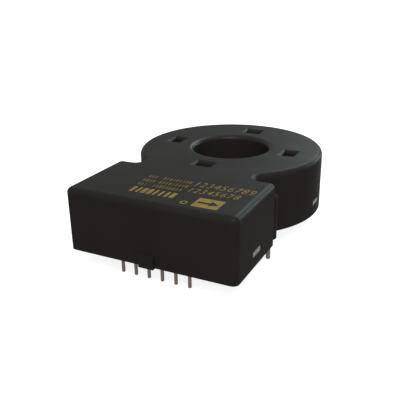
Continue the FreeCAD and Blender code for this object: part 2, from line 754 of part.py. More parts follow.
def draw_lid(drawing):
    """Half section of the flat lid of the core case."""
    inner, outer, _, top = CORE_CASE
    draw_box(drawing, inner, f"{top} - Dim.core_wall + Dim.seat_gap", outer, top)


def shield_upper():
    """Upper half of the shield, with the opening for the leads at the front."""
    inner, outer, _, top = SHIELD
    roof = f"({top} - Dim.shield_wall)"
    body = new_body("shield_upper")
    profile = new_sketch(body, "XZ_Plane")
    draw_outline(profile, [
        (inner, UPPER_RIM),
        (f"{inner} + Dim.shield_wall", UPPER_RIM),
        (f"{inner} + Dim.shield_wall", roof),
        (f"{outer} - Dim.shield_wall", roof),
        (f"{outer} - Dim.shield_wall", UPPER_RIM),
        (outer, UPPER_RIM),
        (outer, top),
        (inner, top),
    ])
    add_revolution(body, profile)
    door = new_sketch(body, "XZ_Plane", f"{outer} / 2")
    half_door = "(Dim.lead_door_width / 2)"
    low = f"{UPPER_RIM} - Dim.seat_gap"
    draw_box(door, f"-{half_door}", low, half_door, f"{UPPER_RIM} + Dim.lead_door_height")
    add_pocket(body, door, outer)
    return body


def winding(label, layer, inside, thickness, turns):
    """Closed layer with its top turns standing proud, open in a bare sector."""
    body = new_body(label)
    layer_profile = new_sketch(body, "XZ_Plane")
    draw_section(layer_profile, layer)
    draw_section(layer_profile, inside)
    add_revolution(body, layer_profile, "360 - Dim.winding_gap_angle")
    proud = "Dim.turn_height"
    inner, outer, foot, top = layer
    turn = new_sketch(body, "XZ_Plane", "-Dim.turn_width")
    draw_box(turn, f"{inner} - {proud}", f"{foot} - {proud}", f"{outer} + {proud}", f"{top} + {proud}")
    draw_section(turn, inset(layer, f"{thickness} / 2"))
    loop = add_pad(body, turn, "Dim.turn_width")
    add_ring_pattern(body, loop, turns, f"(360 - Dim.winding_gap_angle) * ({turns} - 1) / {turns}")
    body.Placement.Rotation = FreeCAD.Rotation(FreeCAD.Vector(0, 0, 1), 270)
    body.setExpression("Placement.Rotation.Angle", "270 + Dim.winding_gap_angle / 2")
    return body


def stand_on_board(body):
    """Stands a piece on the circuit board, at its own place."""
    across, along = BOARD_PLACES[body.Label]
    half_depth = f"({BOARD_NOSE} - {BOARD_TAIL}) / 2"
    middle = f"-({BOARD_NOSE} + {BOARD_TAIL}) / 2"
    body.setExpression("Placement.Base.x", f"{across} * {BOARD_SIDE}")
    body.setExpression("Placement.Base.y", f"{middle} + {along} * {half_depth}")
    body.setExpression("Placement.Base.z", PART_FOOT)
    return body


def chip_package(label, legs):
    """Small circuit package with bent legs on both long sides."""
    body = new_body(label)
    half_width = "(Dim.package_width / 2)"
    half_length = f"({legs / 2} * Dim.leg_pitch)"
    plan = new_sketch(body, level="Dim.leg_sheet / 2")
    draw_box(plan, f"-{half_width}", f"-{half_length}", half_width, half_length)
    add_pad(body, plan, "Dim.package_height - Dim.leg_sheet / 2")
    add_bevel(body, [face_at_height(body, size("package_height"))], "Dim.leg_sheet")
    row = new_sketch(body, "XZ_Plane", f"{(legs - 1) / 2} * Dim.leg_pitch")
    root = f"({half_width} - Dim.leg_sheet)"
    knee = f"({half_width} + Dim.leg_out)"
    tip = f"({knee} + Dim.leg_foot)"
    level = "(Dim.package_height / 2)"
    for way in ("-", ""):
        draw_outline(row, [
            (f"{way}{root}", level),
            (f"{way}{knee}", level),
            (f"{way}{knee}", "0"),
            (f"{way}{tip}", "0"),
            (f"{way}{tip}", "Dim.leg_sheet"),
            (f"{way}({knee} + Dim.leg_sheet)", "Dim.leg_sheet"),
            (f"{way}({knee} + Dim.leg_sheet)", f"{level} + Dim.leg_sheet"),
            (f"{way}{root}", f"{level} + Dim.leg_sheet"),
        ])
    pair = add_pad(body, row, "Dim.leg_width")
    pair.Midplane = True
    add_row_pattern(body, [pair], "Y_Axis", f"{legs - 1} * Dim.leg_pitch", legs)
    return stand_on_board(body)


def capped_block(label, kind, count=1):
    """Block with raised metal end caps, alone or in a row of like blocks."""
    body = new_body(label)
    body.AllowCompound = True
    half_length = f"(Dim.{kind}_length / 2)"
    half_width = f"(Dim.{kind}_width / 2)"
    first = f"(-{(count - 1) / 2} * Dim.chip_pitch)"
    core_low = f"{first} - {half_width} + Dim.cap_proud"
    core_high = f"{first} + {half_width} - Dim.cap_proud"
    middle = new_sketch(body, level="Dim.cap_proud")
    draw_box(middle, f"-{half_length}", core_low, half_length, core_high)
    core = add_pad(body, middle, f"Dim.{kind}_height - 2 * Dim.cap_proud")
    ends = new_sketch(body)
    cap_edge = f"({half_length} - Dim.{kind}_cap)"
    for left, right in ((f"-{half_length}", f"-{cap_edge}"), (cap_edge, half_length)):
        draw_box(ends, left, f"{first} - {half_width}", right, f"{first} + {half_width}")
    caps = add_pad(body, ends, f"Dim.{kind}_height")
    if count > 1:
        add_row_pattern(body, [core, caps], "Y_Axis", f"{count - 1} * Dim.chip_pitch", count)
    return stand_on_board(body)


def bonding_plugs():
    """Four spots of silicone between the shield and the roof windows."""
    body = new_body("bonding_plugs")
    body.AllowCompound = True
    foot = f"({SHIELD[3]} + Dim.seat_gap)"
    half_length = "(Dim.window_length / 2 - Dim.plug_gap)"
    half_width = "(Dim.window_width / 2 - Dim.plug_gap)"
    low = f"-{WINDOW_LINE} - {half_width}"
    high = f"-{WINDOW_LINE} + {half_width}"
    plug = new_sketch(body, level=foot)
    draw_box(plug, f"-{half_length}", low, half_length, high)
    spot = add_pad(body, plug, f"Dim.case_height - Dim.plug_sink - {foot}")
    add_ring_pattern(body, spot, f"{CORNERS}")
    return body


def winding_leads():
    """Four wires from the wound core through the shield and down through the board."""
    body = new_body("winding_leads")
    body.AllowCompound = True
    start = f"({SHIELD[1]} - Dim.shield_wall - Dim.screen_gap + Dim.layer_gap)"
    bend = f"({LEAD_LINE} - Dim.lead_bend)"
    drop = f"({LEAD_LEVEL} - Dim.lead_bend)"
    path = new_sketch(body, "YZ_Plane", FIRST_LEAD)
    begin, turn, down, end = (FreeCAD.Vector(*spot) for spot in ((-1, 2), (-2, 2), (-3, 1), (-3, 0)))
    out = path.addGeometry(Part.LineSegment(begin, turn), False)
    circle = Part.Circle(FreeCAD.Vector(-2, 1), FreeCAD.Vector(0, 0, 1), 1)
    bow = path.addGeometry(Part.ArcOfCircle(circle, math.pi / 2, math.pi), False)
    fall = path.addGeometry(Part.LineSegment(down, end), False)
    path.addConstraint(Sketcher.Constraint("Coincident", out, 2, bow, 1))
    path.addConstraint(Sketcher.Constraint("Coincident", bow, 2, fall, 1))
    pin_point(path, out, 1, f"-{start}", LEAD_LEVEL)
    pin_point(path, out, 2, f"-{bend}", LEAD_LEVEL)
    path.addConstraint(Sketcher.Constraint("Vertical", out, 2, bow, 3))
    pin_point(path, fall, 1, f"-{LEAD_LINE}", drop)
    pin_point(path, fall, 2, f"-{LEAD_LINE}", f"{BOARD_FOOT} - Dim.lead_end")
    section = new_sketch(body, "XZ_Plane", start)
    draw_circle(section, FIRST_LEAD, LEAD_LEVEL, "Dim.lead_diameter / 2")
    wire = body.newObject("PartDesign::AdditivePipe", "AdditivePipe")
    wire.Profile = section
    wire.Spine = path
    doc.recompute()
    add_row_pattern(body, [wire], "X_Axis", f"{LEADS - 1} * Dim.lead_pitch", LEADS)
    return body


def pieces():
    """Every piece of the sensor, outside first."""
    yield case()
    yield base_plate()
    for number in range(1, PINS + 1):
        yield signal_pin(number)
    yield mounting_pin("left", f"-{POST_ACROSS}")
    yield mounting_pin("right", POST_ACROSS)
    yield pin_strip()
    yield circuit_board()
    yield ring_piece("shield_lower", draw_channel, SHIELD, LOWER_RIM, "Dim.shield_wall")
    yield shield_upper()
    for name, layer, inside in (
        ("feedback", FEEDBACK, FEEDBACK_INSIDE),
        ("excitation", EXCITATION, EXCITATION_INSIDE),
    ):
        yield winding(f"{name}_winding", layer, inside, f"Dim.{name}_layer", f"Dim.{name}_turns")
    lid_foot = f"({CORE_CASE[3]} - Dim.core_wall)"
    yield ring_piece("core_case_lower", draw_channel, CORE_CASE, lid_foot, "Dim.core_wall")
    yield ring_piece("core_case_upper", draw_lid)
    yield ring_piece("sensor_core", draw_section, CORE)
    yield bonding_plugs()
    yield winding_leads()
    yield chip_package("control_ic", 5)
    yield chip_package("amplifier_ic", 4)
    yield chip_package("voltage_regulator", 3)
    yield capped_block("burden_resistor", "burden")
    yield capped_block("tantalum_capacitor", "tantalum")
    yield capped_block("chip_capacitors", "chip", 4)
    yield capped_block("chip_resistors", "chip", 2)


def check(piece):
    """Stops with a plain message when a piece didn't come out as a sound solid."""
    members = piece.Group + [piece]
    failed = [item.Name for item in members if "Invalid" in item.State or "Error" in item.State]
    if failed:
        raise RuntimeError(f"{piece.Label}: {failed} failed")
    if piece.Shape.isNull() or not piece.Shape.isValid() or not piece.Shape.Solids:
        raise RuntimeError(f"{piece.Label} is no sound solid")


def main():
    """Builds, checks and writes every piece."""
    built = list(pieces())
    doc.recompute()
    for piece in built:
        check(piece)
    os.makedirs("parts", exist_ok=True)
    for piece in built:
        piece.Shape.exportStep(f"parts/{piece.Label}.step")
        solids = len(piece.Shape.Solids)
        print(f"{piece.Label}: {solids} solid(s), {piece.Shape.Volume:.2f} mm3")


main()
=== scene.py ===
import json
import math

import bmesh
import bpy
from bpy.props import FloatProperty, FloatVectorProperty, IntProperty, PointerProperty
from mathutils import Matrix, Vector


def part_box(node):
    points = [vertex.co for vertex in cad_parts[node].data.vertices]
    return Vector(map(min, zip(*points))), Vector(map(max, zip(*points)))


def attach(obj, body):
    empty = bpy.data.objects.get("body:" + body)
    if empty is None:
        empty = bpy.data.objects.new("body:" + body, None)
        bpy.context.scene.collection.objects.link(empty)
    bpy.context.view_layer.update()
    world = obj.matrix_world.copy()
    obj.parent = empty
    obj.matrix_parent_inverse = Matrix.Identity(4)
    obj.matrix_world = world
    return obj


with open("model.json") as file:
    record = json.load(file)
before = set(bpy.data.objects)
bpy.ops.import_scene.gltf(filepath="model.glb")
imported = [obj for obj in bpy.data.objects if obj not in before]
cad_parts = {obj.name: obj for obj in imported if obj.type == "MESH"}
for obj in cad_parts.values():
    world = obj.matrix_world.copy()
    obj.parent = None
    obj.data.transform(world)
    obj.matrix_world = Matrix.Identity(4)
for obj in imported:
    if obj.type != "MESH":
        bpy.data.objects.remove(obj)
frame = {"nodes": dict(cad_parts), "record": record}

bl_info = {
    "name": "Residual Current Sensor Looks",
    "version": (1, 0, 0),
    "blender": (4, 5, 0),
    "location": "3D View > Sidebar > Sensor",
    "description": "Finishes, roof print and studio for a ring-type residual current sensor",
    "category": "Object",
}

MM = 0.001
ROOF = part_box("case")[1].z
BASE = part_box("base_plate")[0].z
PIN_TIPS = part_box("signal_pin_1")[0].z
BORE = MM * next(mount["dims"]["r_mm"] for mount in frame["record"]["mounts"]
                 if mount["name"] == "conductor_bore")

# What the mould leaves on plastic: how deep each mark is, and how far the ring of an ejector
# reaches inside and outside its radius.
GRAIN_DEPTH = 0.012 * MM
SPECKLE_DEPTH = 0.004 * MM
EJECTOR_DEPTH = 0.08 * MM
EJECTOR_RING = (0.06 * MM, 0.1 * MM)

# The skin: below its face, where it begins and is full, and where the rounded edge gives way
# to the flat. Outside the bore, where the polish of its rim starts to fade and is gone.
SKIN_RISE = (1.2 * MM, 0.4 * MM)
EDGE_END = (0.12 * MM, 0.01 * MM)
RIM_FADE = (1.1 * MM, 1.8 * MM)
SKIN_ROUGHNESS = 0.36


def add_node(tree, kind, settings=None, **inputs):
    """Adds a node of a type: first its settings, then the values or links of its sockets.

    A socket goes by its name, with _ for a blank, or by i and its number.
    """
    made = tree.nodes.new(kind)
    for name, value in (settings or {}).items():
        setattr(made, name, value)
    for name, value in inputs.items():
        socket = made.inputs[int(name[1:]) if name[1:].isdigit() else name.replace("_", " ")]
        if isinstance(value, bpy.types.NodeSocket):
            tree.links.new(value, socket)
        else:
            socket.default_value = value
    return made


class Signal:
    """Output of a shader node that takes part in Python sums, each of which adds a Math node."""

    def __init__(self, tree, socket=None):
        self.tree = tree
        self.socket = socket

    def node(self, kind, settings=None, output=0, **inputs):
        """Adds a node, with its settings and the values or signals of its sockets."""
        plain = {name: value.socket if isinstance(value, Signal) else value
                 for name, value in inputs.items()}
        made = add_node(self.tree, kind, settings, **plain)
        return Signal(self.tree, made.outputs[output] if made.outputs else None)

    def math(self, operation, *values):
        """Adds a Math node that works on this signal or on the values given in its place."""
        sockets = {f"i{index}": value for index, value in enumerate(values)}
        return self.node("ShaderNodeMath", {"operation": operation}, **sockets)

    def __add__(self, other):
        return self.math("ADD", self, other)

    __radd__ = __add__

    def __sub__(self, other):
        return self.math("SUBTRACT", self, other)

    def __rsub__(self, other):
        return self.math("SUBTRACT", other, self)

    def __mul__(self, other):
        return self.math("MULTIPLY", self, other)

    __rmul__ = __mul__

    def fade(self, low, high):
        """Rises smoothly from 0 at one value to 1 at another."""
        settings = {"interpolation_type": "SMOOTHSTEP"}
        return self.node("ShaderNodeMapRange", settings, Value=self, From_Min=low, From_Max=high)

    def mix(self, first, second):
        """Blends two colours by this signal."""
        settings = {"data_type": "RGBA"}
        return self.node("ShaderNodeMix", settings, output=2, i0=self, i6=first, i7=second)


def colour(value, share=1.0):
    """Four-part colour, darker or lighter by a share."""
    return tuple(channel * share for channel in value) + (1.0,)


class Finish:
    """Material in the making: its node tree, its place signals and its principled shader."""

    def __init__(self, name):
        self.material = bpy.data.materials.new(name)
        self.material.use_nodes = True
        self.tree = self.material.node_tree
        self.tree.nodes.clear()
        self.start = Signal(self.tree)
        self.place = self.start.node("ShaderNodeTexCoord", output=3)

    def noise(self, size, detail=2.0, stretch=(1, 1, 1)):
        """Cloudy pattern from 0 to 1, with patches of about a size in metres."""
        scaled = self.start.node("ShaderNodeVectorMath", {"operation": "MULTIPLY"}, i0=self.place,
                                 i1=tuple(1 / (size * share) for share in stretch))
        return self.start.node("ShaderNodeTexNoise", Vector=scaled, Scale=1.0, Detail=detail)

    def axes(self):
        """Signals for the three coordinates, in metres."""
        split = self.start.node("ShaderNodeSeparateXYZ", i0=self.place).socket.node
        return [Signal(self.tree, socket) for socket in split.outputs]

    def distance(self, spot):
        """Distance from a place, in metres."""
        return self.start.node("ShaderNodeVectorMath", {"operation": "DISTANCE"}, output=1,
                               i0=self.place, i1=spot)

    def done(self, height, **inputs):
        """Closes the material: height in metres becomes bump, the rest goes to the shader."""
        inputs["Normal"] = self.start.node("ShaderNodeBump", Height=height, Distance=1.0)
        shader = self.start.node("ShaderNodeBsdfPrincipled", **inputs)
        self.start.node("ShaderNodeOutputMaterial", Surface=shader)
        return self.material


def moulded_plastic(name, tint, roughness, grain, sheen, ejector_spots=(), skin=None):
    """Moulded plastic: spark-eroded grain, faint flow clouds and the round marks of ejectors.

    A skin is the smoother face that a polished half of the mould leaves: its tint, cooler than
    the rest, a painted sheen that stands for the cool cast of reflected light; its strength, the
    height of the face and the radius of a bore whose rim the conductors have polished.
    """
    finish = Finish(name)
    clouds = finish.noise(6 * MM, 3.0)
    grain_field = finish.noise(grain, 3.0)
    speckle = finish.noise(grain * 0.35, 1.0)
    shade = (clouds * 0.75 + grain_field * 0.25).fade(0.3, 0.7)
    dark, light = colour(tint, 0.95), colour(tint, 1.05)
    gloss = (clouds - 0.5) * 0.1 + (speckle - 0.5) * 0.12 + roughness
    height = grain_field * GRAIN_DEPTH + speckle * SPECKLE_DEPTH
    for x, y, radius in ejector_spots:
        spot = finish.distance((x, y, BASE))
        inner, outer = (side * width + radius for side, width in zip((-1, 1), EJECTOR_RING))
        ring = spot.fade(inner, radius) - spot.fade(radius, outer)
        height = height - ring * EJECTOR_DEPTH
    more = {"Specular_IOR_Level": sheen}
    if skin:
        skin_tint_painted_sheen, strength, face, bore = skin
        x, y, z = finish.axes()
        level = z.fade(*(face - drop for drop in SKIN_RISE))
        edges = level - z.fade(*(face - drop for drop in EDGE_END))
        from_axis = finish.start.math("SQRT", x * x + y * y)
        rim = 1 - from_axis.fade(*(bore + reach for reach in RIM_FADE))
        # On the skin's face the base colour turns cooler: painted sheen, the cool cast of
        # reflected light put into the colour.
        dark = level.mix(dark, colour(skin_tint_painted_sheen, 0.95))
        light = level.mix(light, colour(skin_tint_painted_sheen, 1.05))
        weight = (level + edges * (rim * 1.2 + 0.2)) * strength * (clouds * 0.6 + 0.7)
        more.update({"Coat_Weight": weight, "Coat_Roughness": SKIN_ROUGHNESS})
    return finish.done(height, Base_Color=shade.mix(dark, light), Roughness=gloss, **more)


def drawn_metal(name, tint, roughness, streak):
    """Drawn and tinned metal: fine streaks along Z and dull patches."""
    finish = Finish(name)
    streaks = finish.noise(0.05 * MM, 2.0, (1, 1, streak))
    patches = finish.noise(0.7 * MM, 3.0)
    worn = (streaks * 0.5 + patches * 0.5).fade(0.35, 0.65)
    base = worn.mix(colour(tint, 0.75), colour(tint, 1.1))
    gloss = patches * 0.2 + streaks * 0.1 + roughness
    return finish.done(streaks * 0.003 * MM, Base_Color=base, Roughness=gloss, Metallic=1.0)


def rolled_sheet(name, tint, roughness):
    """Annealed nickel-iron sheet with a clouded, slightly stained surface."""
    finish = Finish(name)
    clouds = finish.noise(3 * MM, 4.0)
    lines = finish.noise(0.08 * MM, 2.0, (1, 1, 20))
    stained = colour((tint[0], tint[1] * 0.97, tint[2] * 0.9))
    base = clouds.fade(0.3, 0.7).mix(colour(tint, 0.8), stained)
    gloss = clouds * 0.25 + lines * 0.08 + roughness
    return finish.done(lines * 0.002 * MM, Base_Color=base, Roughness=gloss, Metallic=1.0)


def enamelled_wire(name, tint, turns_per_circle):
    """Copper turns under clear enamel, wound side by side round the ring, with painted shade in
    the grooves between them.
    """
    finish = Finish(name)
    x, y, _ = finish.axes()
    angle = finish.start.math("ARCTAN2", y, x)
    wave = finish.start.math("SINE", angle * turns_per_circle)
    clouds = finish.noise(1.2 * MM, 2.0)
    # Darker where the wave is low, in the grooves between the turns: painted shade. The clouds add
    # random tone.
    shade = (wave * 0.25 + clouds * 0.6 + 0.1).fade(0.2, 0.8)
    base = shade.mix(colour(tint, 0.55), colour(tint, 1.15))
    return finish.done(wave * 0.03 * MM, Base_Color=base, Roughness=clouds * 0.15 + 0.22,
                       Metallic=0.85, Coat_Weight=0.6)


def solder_mask(name, mask, copper):
    """Green varnish with tracks of copper faintly raised under it."""
    finish = Finish(name)
    x, y, _ = finish.axes()
    weave = finish.noise(0.5 * MM, 2.0)
    runs = finish.start.math("SINE", x * 2600 + finish.noise(5 * MM, 0.0) * 9)
    links = finish.start.math("SINE", y * 2100 + finish.noise(6 * MM, 0.0) * 7)
    tracks = finish.start.math("MAXIMUM", runs.fade(0.55, 0.7), links.fade(0.75, 0.85))
    base = tracks.mix(colour(mask), colour(copper))
    return finish.done(tracks * 0.03 * MM + weave * 0.004 * MM, Base_Color=base,
                       Roughness=weave * 0.1 + 0.28)


def printed_ink(name, tint):
    """Pad-printed ink: a little uneven, with fine pinholes in its coat."""
    finish = Finish(name)
    patches = finish.noise(0.9 * MM, 3.0)
    pinholes = finish.noise(0.09 * MM, 2.0)
    cover = (patches * 0.7 + pinholes * 0.3).fade(0.32, 0.62)
    base = cover.mix(colour(tint, 0.72), colour(tint, 1.08))
    gloss = patches * 0.15 + 0.42
    return finish.done(pinholes * 0.003 * MM, Base_Color=base, Roughness=gloss,
                       Specular_IOR_Level=0.02)


def dress(material, *nodes):
    """Puts a material on CAD nodes, which stay as they are."""
    for name in nodes:
        for place in frame["nodes"][name].material_slots:
            place.material = material


def add_piece(name, mesh, material):
    """Adds a finished mesh as a piece of its own that moves with the sensor."""
    piece = bpy.data.objects.new(name, mesh)
    bpy.context.scene.collection.objects.link(piece)
    if not mesh.materials:
        mesh.materials.append(material)
    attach(piece, "root")
    return piece


def new_growth_tree(name, sizes):
    """Empty geometry tree with named inputs, the material last, and a geometry output."""
    tree = bpy.data.node_groups.new(name, "GeometryNodeTree")
    for label, kind in (*sizes, ("Material", "Material")):
        tree.interface.new_socket(label, in_out="INPUT", socket_type=f"NodeSocket{kind}")
    tree.interface.new_socket("Geometry", in_out="OUTPUT", socket_type="NodeSocketGeometry")
    return tree


def finish_growth_tree(tree, instances, given):
    """Ends a tree: its instances become plain mesh and get the material."""
    solid = add_node(tree, "GeometryNodeRealizeInstances", Geometry=instances.outputs[0])
    done = add_node(tree, "GeometryNodeSetMaterial", Geometry=solid.outputs[0],
                    Material=given["Material"])
    add_node(tree, "NodeGroupOutput", Geometry=done.outputs[0])
    return tree


def bar_row_tree():
    """Tree for one row of print: upright bars of uneven width, a pitch apart."""
    tree = new_growth_tree("Print row", [
        ("Corner", "Vector"), ("Pitch", "Float"), ("Count", "Int"), ("Bar height", "Float"),
        ("Narrow", "Float"), ("Wide", "Float"), ("Ink", "Float"), ("Seed", "Int"),
    ])
    given = tree.nodes.new("NodeGroupInput").outputs
    step = add_node(tree, "ShaderNodeCombineXYZ", X=given["Pitch"])
    line = add_node(tree, "GeometryNodeMeshLine", Count=given["Count"],
                    Start_Location=given["Corner"], Offset=step.outputs[0])
    width = add_node(tree, "FunctionNodeRandomValue", i2=given["Narrow"], i3=given["Wide"],
                     Seed=given["Seed"])
    scale = add_node(tree, "ShaderNodeCombineXYZ", X=width.outputs[1], Y=given["Bar height"],
                     Z=given["Ink"])
    bar = add_node(tree, "GeometryNodeMeshCube", Size=(1, 1, 1))
    bars = add_node(tree, "GeometryNodeInstanceOnPoints", Points=line.outputs[0],
                    Instance=bar.outputs[0], Scale=scale.outputs[0])
    return finish_growth_tree(tree, bars, given)


def solder_tree():
    """Tree for solder joints: a low cone on each point of a mesh."""
    tree = new_growth_tree("Solder joints", [
        ("Geometry", "Geometry"), ("Foot radius", "Float"), ("Top radius", "Float"),
        ("Rise", "Float"),
    ])
    given = tree.nodes.new("NodeGroupInput").outputs
    cone = add_node(tree, "GeometryNodeMeshCone", Vertices=32, Side_Segments=8,
                    Radius_Top=given["Top radius"], Radius_Bottom=given["Foot radius"],
                    Depth=given["Rise"])
    joints = add_node(tree, "GeometryNodeInstanceOnPoints", Points=given["Geometry"],
                      Instance=cone.outputs[0])
    return finish_growth_tree(tree, joints, given)


def plain_copy(piece):
    """Plain mesh of an object as its modifiers and letters leave it. The object goes."""
    bpy.context.scene.collection.objects.link(piece)
    seen = piece.evaluated_get(bpy.context.evaluated_depsgraph_get())
    mesh = bpy.data.meshes.new_from_object(seen)
    bpy.data.objects.remove(piece)
    return mesh


def grown_mesh(name, tree, values, points=()):
    """Plain mesh of what a geometry tree makes from some points and values."""
    seed = bpy.data.meshes.new(name)
    seed.from_pydata(list(points), [], [])
    piece = bpy.data.objects.new(name, seed)
    growth = piece.modifiers.new("Growth", "NODES")
    growth.node_group = tree
    for item in tree.interface.items_tree:
        if item.in_out == "INPUT" and item.name in values:
            growth[item.identifier] = values[item.name]
    return plain_copy(piece)


def flat_sign(name, outlines, low, high):
    """Mesh of flat shapes, each a closed outline in the plan, raised from one level to another."""
    shape = bmesh.new()
    for outline in outlines:
        foot = [shape.verts.new((x, y, low)) for x, y in outline]
        top = [shape.verts.new((x, y, high)) for x, y in outline]
        shape.faces.new(foot)
        shape.faces.new(top)
        for index in range(len(outline)):
            shape.faces.new((foot[index - 1], foot[index], top[index], top[index - 1]))
    bmesh.ops.recalc_face_normals(shape, faces=shape.faces)
    mesh = bpy.data.meshes.new(name)
    shape.to_mesh(mesh)
    shape.free()
    return mesh


def number_mesh(name, text, corner, length, height, low, high):
    """Mesh of plain numbers of a length and height, from one level to another.

    Their strokes are a little thinned, spaced out and slanted.
    """
    sign = bpy.data.curves.new(name, "FONT")
    sign.body = text
    sign.extrude = 0.5
    sign.offset = -0.012
    sign.space_character = 1.12
    sign.shear = 0.12
    sign.resolution_u = 3
    mesh = plain_copy(bpy.data.objects.new(name, sign))
    spots = [vertex.co for vertex in mesh.vertices]
    near = Vector(min(spot[axis] for spot in spots) for axis in range(3))
    far = Vector(max(spot[axis] for spot in spots) for axis in range(3))
    span = far - near
    shares = (length / span.x, height / span.y, (high - low) / span.z, 1)
    place = Matrix.Translation((corner[0], corner[1], low))
    mesh.transform(place @ Matrix.Diagonal(shares) @ Matrix.Translation(-near))
    shape = bmesh.new()
    shape.from_mesh(mesh)
    bmesh.ops.remove_doubles(shape, verts=shape.verts, dist=0.0002 * MM)
    bmesh.ops.recalc_face_normals(shape, faces=shape.faces)
    shape.to_mesh(mesh)
    shape.free()
    return mesh


def arc(middle, radius, start, end, steps):
    """Points along an arc of a circle, angles in degrees."""
    turns = [math.radians(start + (end - start) * step / steps) for step in range(steps + 1)]
    return [(middle[0] + radius * math.cos(turn), middle[1] + radius * math.sin(turn))
            for turn in turns]


class SensorPlastics(bpy.types.PropertyGroup):
    """Colours and gloss of the moulded parts."""

    case_tint: FloatVectorProperty(
        name="Case", description="Colour of the black case", subtype="COLOR", size=3, min=0, max=1,
        default=(0.0186, 0.0151, 0.0143))
    # The roof's colour is cooler than the case's: painted sheen, the cool cast of reflected light.
    roof_tint: FloatVectorProperty(
        name="Roof", description="Colour of the case's roof", subtype="COLOR", size=3, min=0,
        max=1, default=(0.0145, 0.0135, 0.0128))
    case_roughness: FloatProperty(
        name="Case roughness", description="Roughness of the case", default=0.42, min=0, max=1)
    case_sheen: FloatProperty(
        name="Case sheen", description="Strength of the walls' reflection", default=0.002, min=0,
        max=1)
    roof_skin: FloatProperty(
        name="Roof skin", description="Strength of the smoother skin on the roof", default=0.075,
        min=0, max=1)
    grain: FloatProperty(
        name="Grain", description="Size of the mould's grain", default=0.16 * MM, unit="LENGTH")
    base_tint: FloatVectorProperty(
        name="Base plate", description="Colour of the base plate and its clips", subtype="COLOR",
        size=3, min=0, max=1, default=(0.16, 0.16, 0.155))


class SensorPrint(bpy.types.PropertyGroup):
    """Ink on the roof."""

    ink_tint: FloatVectorProperty(
        name="Ink", description="Colour of the roof print", subtype="COLOR", size=3, min=0, max=1,
        default=(0.15, 0.104, 0.029))
    ink_height: FloatProperty(
        name="Ink height", description="Ink above the roof", default=0.015 * MM, unit="LENGTH")
    ink_sink: FloatProperty(
        name="Ink sink", description="Ink below the face of the roof", default=0.01 * MM,
        unit="LENGTH")
    thin_share: FloatProperty(
        name="Thin ink", description="Strength of the small rows against the rest", default=0.57,
        min=0, max=1)
    seed: IntProperty(name="Seed", description="Which uneven rows are drawn", default=3, min=0)


class SensorMetals(bpy.types.PropertyGroup):
    """Colours of pins, solder, shield and wire."""

    pin_tint: FloatVectorProperty(
        name="Pins", description="Colour of the tinned pins", subtype="COLOR", size=3, min=0,
        max=1, default=(0.14, 0.113, 0.099))
    shield_tint: FloatVectorProperty(
        name="Shield", description="Colour of the shield's sheet", subtype="COLOR", size=3, min=0,
        max=1, default=(0.58, 0.57, 0.55))
    copper_tint: FloatVectorProperty(
        name="Wire", description="Colour of the enamelled wire", subtype="COLOR", size=3, min=0,
        max=1, default=(0.65, 0.24, 0.08))
    turns: IntProperty(
        name="Turns", description="Turns in sight round the whole ring", default=220, min=8)


class SensorStudio(bpy.types.PropertyGroup):
    """Camera and light."""

    camera_place: FloatVectorProperty(
        name="Camera", description="Where the camera stands", subtype="TRANSLATION", size=3,
        default=(44.84 * MM, -102.1 * MM, 44.51 * MM))
    azimuth: FloatProperty(
        name="Azimuth", description="Turn of the camera round the sensor", subtype="ANGLE",
        default=math.radians(26.96))
    elevation: FloatProperty(
        name="Elevation", description="Camera above the horizon", subtype="ANGLE",
        default=math.radians(21.95))
    roll: FloatProperty(
        name="Roll", description="Camera turned on its own axis", subtype="ANGLE",
        default=math.radians(-0.92))
    lens: FloatProperty(
        name="Lens", description="Focal length on a frame 36 mm wide", default=52.06, min=1)
    sky: FloatProperty(
        name="Sky", description="Plain light from all round", default=0.45, min=0)


class SENSOR_OT_case(bpy.types.Operator):
    """Gives the case its black moulded finish"""

    bl_idname = "sensor.case"
    bl_label = "Case"

    def execute(self, context):
        plastics = context.scene.sensor_plastics
        black = moulded_plastic(
            "Black moulded plastic", plastics.case_tint, plastics.case_roughness, plastics.grain,
            plastics.case_sheen, skin=(plastics.roof_tint, plastics.roof_skin, ROOF, BORE))
        dress(black, "case")
        return {"FINISHED"}


class SENSOR_OT_base_plate(bpy.types.Operator):
    """Gives the base plate with its clips a pale moulded finish"""

    bl_idname = "sensor.base_plate"
    bl_label = "Base plate"

    def execute(self, context):
        plastics = context.scene.sensor_plastics
        low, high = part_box("base_plate")
        large, small = 0.9 * MM, 0.6 * MM
        side, front, middle, back = high.x * 0.62, low.y * 0.86, low.y * 0.66, high.y * 0.45
        spots = [(side, front, large), (-side, front, large), (side * 0.9, back, large),
                 (-side * 0.9, back, large), (0, middle, small)]
        grey = moulded_plastic("Grey moulded plastic", plastics.base_tint, 0.5, plastics.grain,
                               0.1, spots)
        dress(grey, "base_plate")
        return {"FINISHED"}


class SENSOR_OT_pins(bpy.types.Operator):
    """Gives the pins their tinned finish and their insulator its own"""

    bl_idname = "sensor.pins"
    bl_label = "Pins"

    def execute(self, context):
        metals = context.scene.sensor_metals
        plastics = context.scene.sensor_plastics
        tin = drawn_metal("Tinned brass", metals.pin_tint, 0.3, 12)
        kinds = ("signal_pin", "mounting_pin")
        dress(tin, *(name for name in frame["nodes"] if name.startswith(kinds)))
        strip = moulded_plastic("Pin strip plastic", plastics.case_tint, 0.5, plastics.grain, 0.2)
        dress(strip, "pin_strip")
        return {"FINISHED"}


